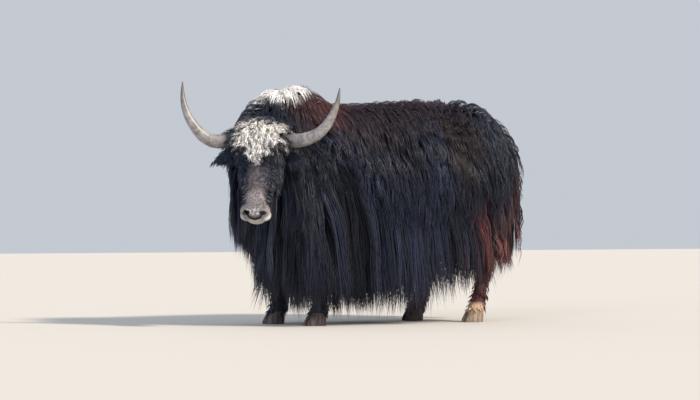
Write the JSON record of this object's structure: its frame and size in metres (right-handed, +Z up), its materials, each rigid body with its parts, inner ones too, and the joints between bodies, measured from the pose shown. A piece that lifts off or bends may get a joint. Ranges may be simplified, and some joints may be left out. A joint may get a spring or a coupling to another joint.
{
  "type": "yak",
  "caption": "A life-size standing yak bull with its head turned, sweeping horns and a long hanging coat: a still display model that rests on its hooves.",
  "frame": {"origin": "on the floor under the middle of the animal's bounding box", "axes": "+Z up, the animal faces -Y, its own left side is +X, and it looks to its left"},
  "size_m": [0.9992, 2.343, 1.3966],
  "materials": {
    "coat": "matte",
    "horn": "satin",
    "hoof": "matte",
    "eye": "gloss"
  },
  "bodies": {
    "root": {"torso": "coat", "neck": "coat", "head": "coat", "tail": "coat", "leg_front_left": "coat", "leg_front_right": "coat", "leg_hind_left": "coat", "leg_hind_right": "coat", "ear_left": "coat", "ear_right": "coat", "horn_left": "horn", "horn_right": "horn", "eye_left": "eye", "eye_right": "eye", "hoof_front_left_left_toe": "hoof", "hoof_front_left_right_toe": "hoof", "hoof_front_right_left_toe": "hoof", "hoof_front_right_right_toe": "hoof", "hoof_hind_left_left_toe": "hoof", "hoof_hind_left_right_toe": "hoof", "hoof_hind_right_left_toe": "hoof", "hoof_hind_right_right_toe": "hoof"}
  },
  "joints": []
}
